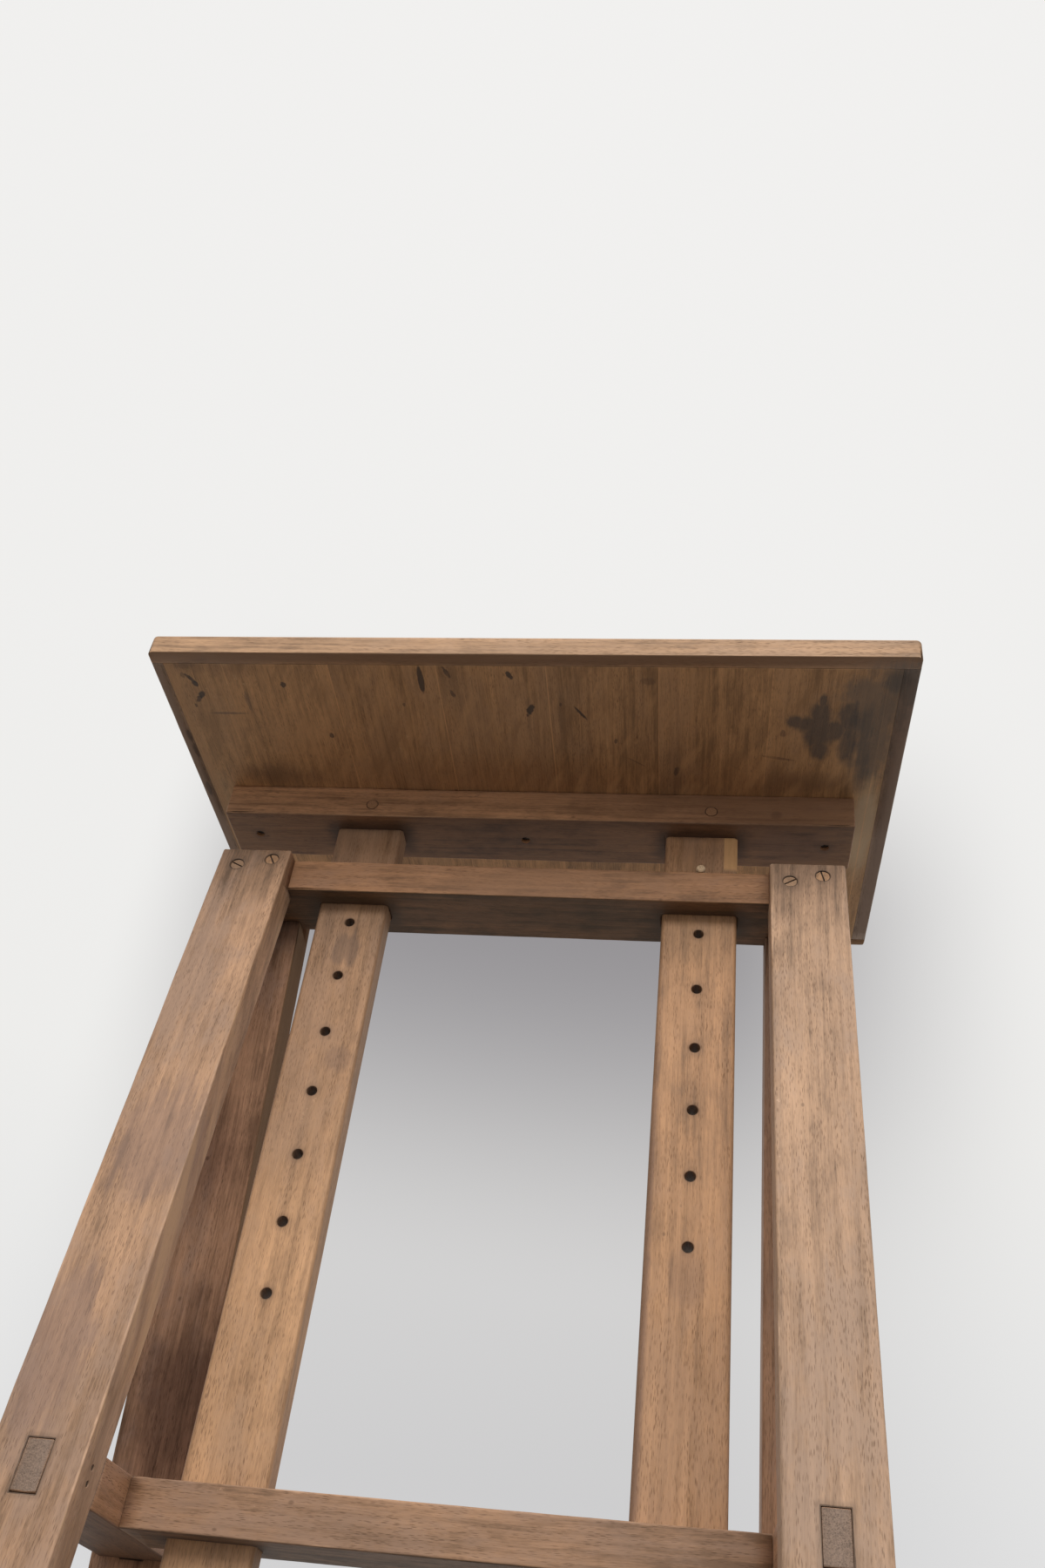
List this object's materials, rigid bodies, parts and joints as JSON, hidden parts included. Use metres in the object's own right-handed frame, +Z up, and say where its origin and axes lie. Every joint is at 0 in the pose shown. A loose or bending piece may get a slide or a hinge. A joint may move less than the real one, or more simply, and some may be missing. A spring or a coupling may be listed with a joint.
{
  "type": "adjustable trestle table",
  "caption": "Wooden trestle table: a small top on two flat peg-holed posts slides up and down through the rails of a splayed four-leg base.",
  "frame": {"origin": "centre of the footprint on the floor, at the lowest setting", "axes": "+Z up, -Y towards the front legs with the visible tenon ends, +X to the right seen from the front"},
  "size_m": [0.52, 0.318, 0.9],
  "materials": {
    "leg_wood": "satin",
    "rail_wood": "satin",
    "post_wood": "satin",
    "batten_wood": "satin",
    "panel_veneer": "satin",
    "lipping_wood": "satin",
    "dowel_wood": "satin",
    "peg_wood": "matte",
    "leg_screw": "aged",
    "iron_screw": "aged",
    "iron_pin": "aged"
  },
  "bodies": {
    "base": {"leg_front_left": "leg_wood", "leg_front_right": "leg_wood", "leg_rear_left": "leg_wood", "leg_rear_right": "leg_wood", "top_rail": "rail_wood", "cross_rail": "rail_wood", "stretcher_left": "rail_wood", "stretcher_right": "rail_wood", "screw_leg_front_left_1": "leg_screw", "screw_leg_front_left_2": "leg_screw", "screw_leg_front_right_1": "leg_screw", "screw_leg_front_right_2": "leg_screw", "screw_leg_rear_left_1": "leg_screw", "screw_leg_rear_left_2": "leg_screw", "screw_leg_rear_right_1": "leg_screw", "screw_leg_rear_right_2": "leg_screw", "pin_leg_front_left_1": "iron_pin", "pin_leg_front_left_2": "iron_pin", "pin_leg_front_right_1": "iron_pin", "pin_leg_front_right_2": "iron_pin", "pin_leg_rear_left_1": "iron_pin", "pin_leg_rear_left_2": "iron_pin", "pin_leg_rear_right_1": "iron_pin", "pin_leg_rear_right_2": "iron_pin"},
    "top": {"post_left": "post_wood", "post_right": "post_wood", "batten": "batten_wood", "top_panel": "panel_veneer", "lipping_front": "lipping_wood", "lipping_rear": "lipping_wood", "lipping_left": "lipping_wood", "lipping_right": "lipping_wood", "batten_pin_left": "dowel_wood", "batten_pin_right": "dowel_wood", "batten_screw_left": "iron_screw", "batten_screw_middle": "iron_screw", "batten_screw_right": "iron_screw"},
    "peg_l": {"peg_left": "peg_wood"},
    "peg_r": {"peg_right": "peg_wood"}
  },
  "joints": [
    {"name": "height_slide", "type": "slide", "parent": "base", "child": "top", "axis": [0, 0, 1], "range_m": [0, 0.2745]},
    {"name": "peg_left_pull", "type": "slide", "parent": "top", "child": "peg_l", "axis": [0, -1, 0], "range_m": [0, 0.05]},
    {"name": "peg_right_pull", "type": "slide", "parent": "top", "child": "peg_r", "axis": [0, -1, 0], "range_m": [0, 0.04]}
  ]
}
